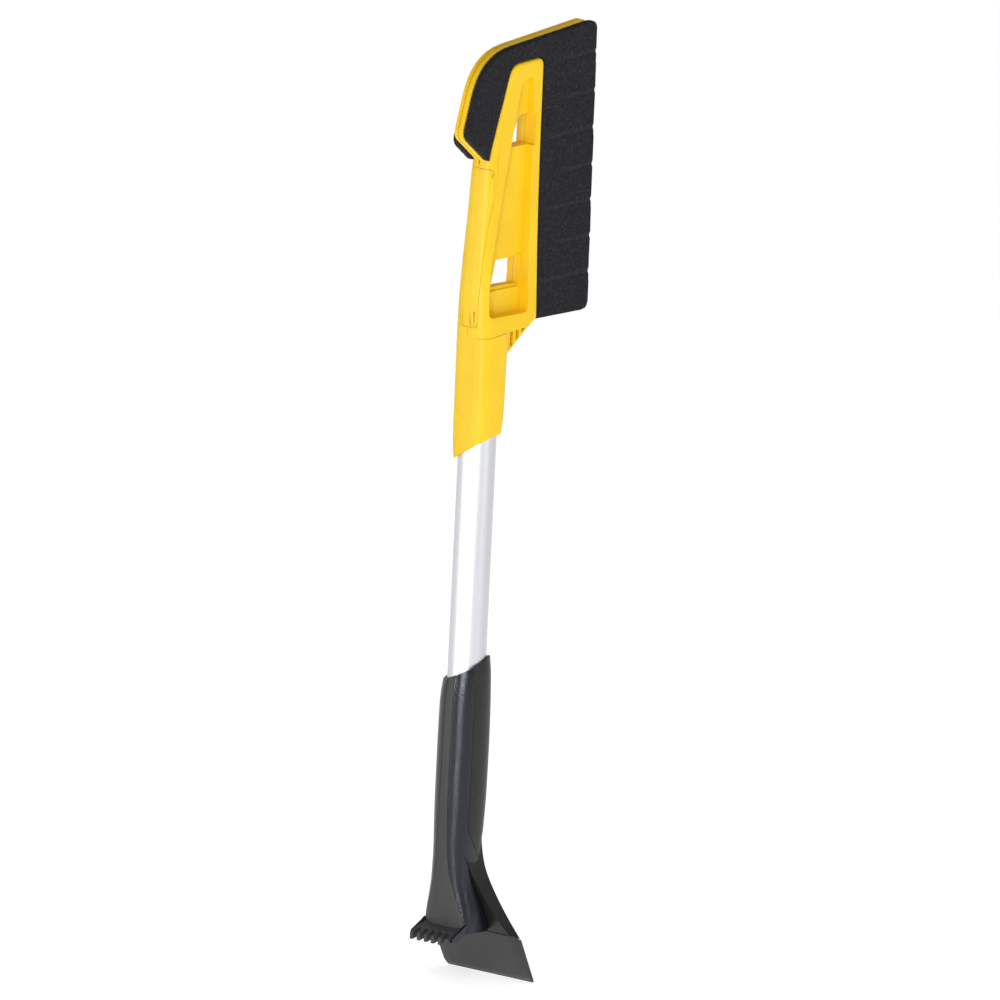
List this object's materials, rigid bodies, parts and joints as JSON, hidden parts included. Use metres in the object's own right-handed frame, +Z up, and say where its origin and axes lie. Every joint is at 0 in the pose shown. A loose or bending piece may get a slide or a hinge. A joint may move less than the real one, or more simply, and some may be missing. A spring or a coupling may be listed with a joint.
{
  "type": "windshield ice scraper",
  "caption": "Long-handled windshield ice scraper with a foam snow paddle on one end and an ice comb and wide scraping blade on the other.",
  "frame": {"origin": "centre of the bounding box in plan, at the blade's cutting edge", "axes": "+Z up along the tube towards the paddle, +X the way the foam paddle reaches, Y through the paddle's thickness"},
  "size_m": [0.1446, 0.0818, 0.7078],
  "materials": {
    "yellow_plastic": "satin injection moulding",
    "foam": "matte fine-celled foam",
    "aluminium": "satin anodised",
    "black_plastic": "semi-matte moulding",
    "textured_plastic": "fine grained, glossy",
    "blade_plastic": "smooth polycarbonate",
    "steel": "zinc plated",
    "natural_plastic": "unpigmented moulding"
  },
  "bodies": {
    "root": {"head_shell_front": "yellow_plastic", "head_shell_rear": "yellow_plastic", "spine_cover": "yellow_plastic", "shell_screw_1": "steel", "shell_screw_2": "steel", "shell_screw_3": "steel", "shell_screw_4": "steel", "foam_pad_front": "foam", "foam_pad_rear": "foam", "collar": "yellow_plastic", "collar_screw": "steel", "handle_tube": "aluminium", "tube_plug_top": "natural_plastic", "tube_plug_bottom": "natural_plastic", "scraper_core": "black_plastic", "grip_screw": "steel", "grip_inlay_front": "textured_plastic", "grip_inlay_rear": "textured_plastic", "ice_chipper": "black_plastic", "scraper_blade": "blade_plastic"}
  },
  "joints": []
}
